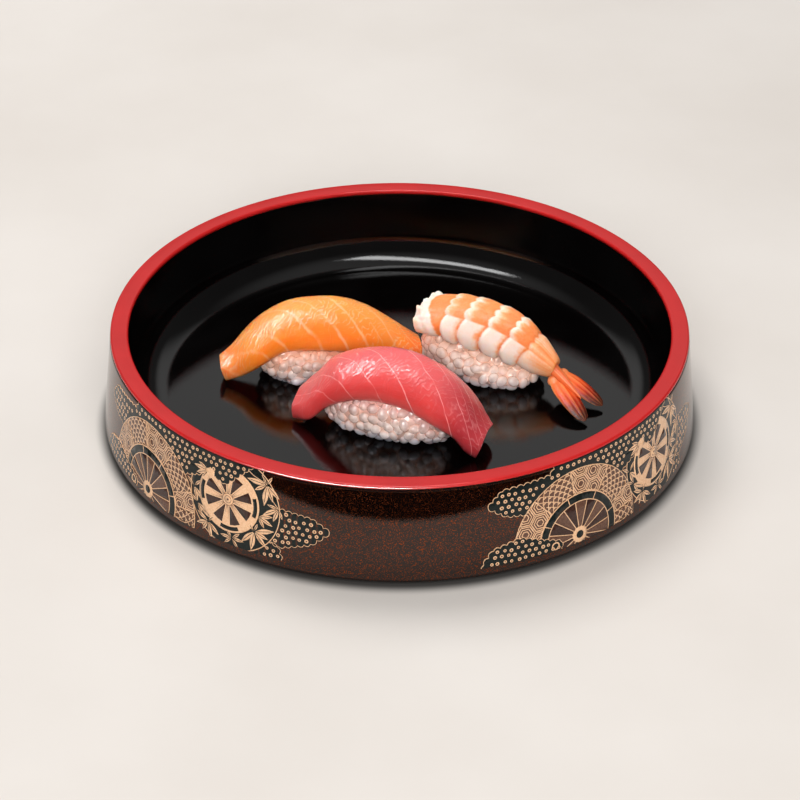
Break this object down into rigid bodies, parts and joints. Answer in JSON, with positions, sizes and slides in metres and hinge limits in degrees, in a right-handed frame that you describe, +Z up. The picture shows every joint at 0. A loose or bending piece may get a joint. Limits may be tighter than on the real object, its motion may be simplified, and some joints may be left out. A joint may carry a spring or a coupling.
{
  "type": "sushi tub with nigiri",
  "caption": "Round lacquered serving tub with a low wall and a foot ring, holding salmon, tuna and prawn nigiri on pressed rice; rests flat on a table.",
  "frame": {"origin": "middle of the tub's foot ring, on the table", "axes": "+Z up out of the tub; -Y towards the side from which the tuna is nearest; +X to the right, towards the prawn's tail"},
  "size_m": [0.2478, 0.2478, 0.0461],
  "materials": {
    "lacquered_plastic": "high-gloss black inside, red rim band, dark brown speckled outer wall with a printed gold pattern",
    "rice": "moist, slightly translucent cooked short-grain rice",
    "salmon": "moist, translucent raw fish with pale fat lines",
    "tuna": "moist, translucent raw fish with fine pale lines",
    "prawn": "moist cooked prawn, white with orange bands and a red-brown tail"
  },
  "bodies": {
    "root": {"tub": "lacquered_plastic", "salmon_rice": "rice", "salmon_slice": "salmon", "tuna_rice": "rice", "tuna_slice": "tuna", "prawn_rice": "rice", "prawn": "prawn"}
  },
  "joints": []
}
